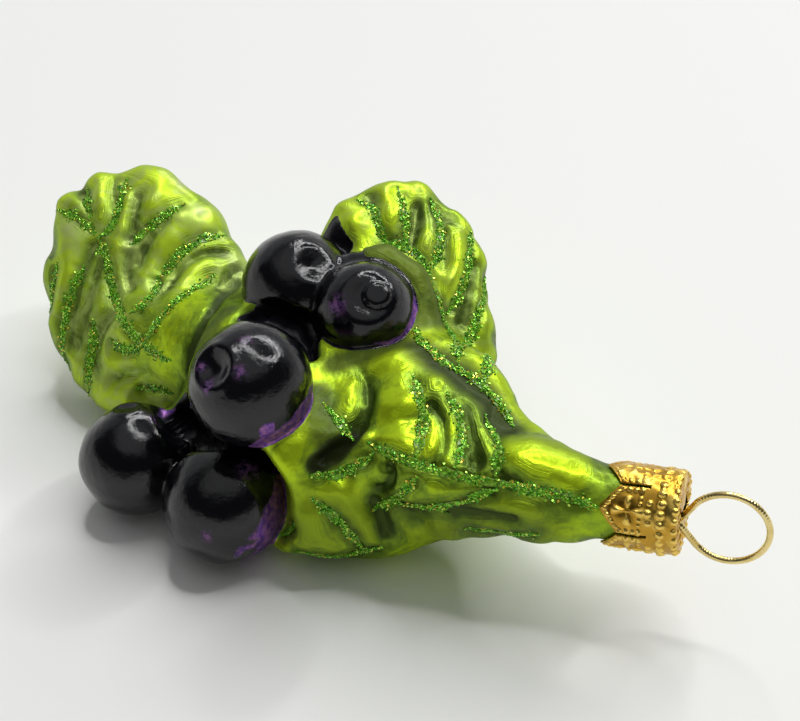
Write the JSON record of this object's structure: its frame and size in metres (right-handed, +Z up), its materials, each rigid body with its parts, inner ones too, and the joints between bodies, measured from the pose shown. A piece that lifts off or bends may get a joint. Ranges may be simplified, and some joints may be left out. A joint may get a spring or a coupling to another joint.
{
  "type": "blown glass blueberry sprig ornament",
  "caption": "Mould-blown silvered glass ornament shaped as a sprig of blueberries and leaves, with a stamped gilt cap and a wire hanging ring.",
  "frame": {"origin": "middle of the bottom of the whole object's box, on the surface that it lies on", "axes": "+X along the sprig towards the cap, +Z up, with the leaves' faces turned up and towards -Y"},
  "size_m": [0.1096, 0.0778, 0.037],
  "materials": {
    "lacquered_glass": "silvered inside, green and blue-black lacquer outside, glossy",
    "gilt_cap": "stamped, bright gilt",
    "brass_wire": "drawn, bright",
    "glitter_glue": "clear glue full of green foil flakes"
  },
  "bodies": {
    "root": {"glass_body": "lacquered_glass", "cap": "gilt_cap", "hanger": "brass_wire", "glitter_left_leaf_midrib": "glitter_glue", "glitter_left_leaf_tip_1": "glitter_glue", "glitter_left_leaf_tip_2": "glitter_glue", "glitter_left_leaf_tip_3": "glitter_glue", "glitter_left_leaf_right_1": "glitter_glue", "glitter_left_leaf_right_2": "glitter_glue", "glitter_left_leaf_right_3": "glitter_glue", "glitter_left_leaf_right_4": "glitter_glue", "glitter_left_leaf_left_1": "glitter_glue", "glitter_left_leaf_left_2": "glitter_glue", "glitter_left_leaf_left_3": "glitter_glue", "glitter_left_leaf_left_4": "glitter_glue", "glitter_left_leaf_left_5": "glitter_glue", "glitter_top_leaf_edge": "glitter_glue", "glitter_top_leaf_midrib": "glitter_glue", "glitter_top_leaf_tip_1": "glitter_glue", "glitter_top_leaf_tip_2": "glitter_glue", "glitter_top_leaf_right_1": "glitter_glue", "glitter_top_leaf_right_2": "glitter_glue", "glitter_top_leaf_right_3": "glitter_glue", "glitter_top_leaf_right_4": "glitter_glue", "glitter_front_leaf_midrib": "glitter_glue", "glitter_front_leaf_tip": "glitter_glue", "glitter_front_leaf_upper_1": "glitter_glue", "glitter_front_leaf_upper_2": "glitter_glue", "glitter_front_leaf_upper_3": "glitter_glue", "glitter_front_leaf_upper_4": "glitter_glue", "glitter_front_leaf_lower_1": "glitter_glue", "glitter_front_leaf_lower_2": "glitter_glue", "glitter_front_leaf_lower_3": "glitter_glue", "glitter_low_leaf_midrib": "glitter_glue", "glitter_low_leaf_edge_1": "glitter_glue", "glitter_low_leaf_edge_2": "glitter_glue", "glitter_low_leaf_edge_3": "glitter_glue"}
  },
  "joints": []
}
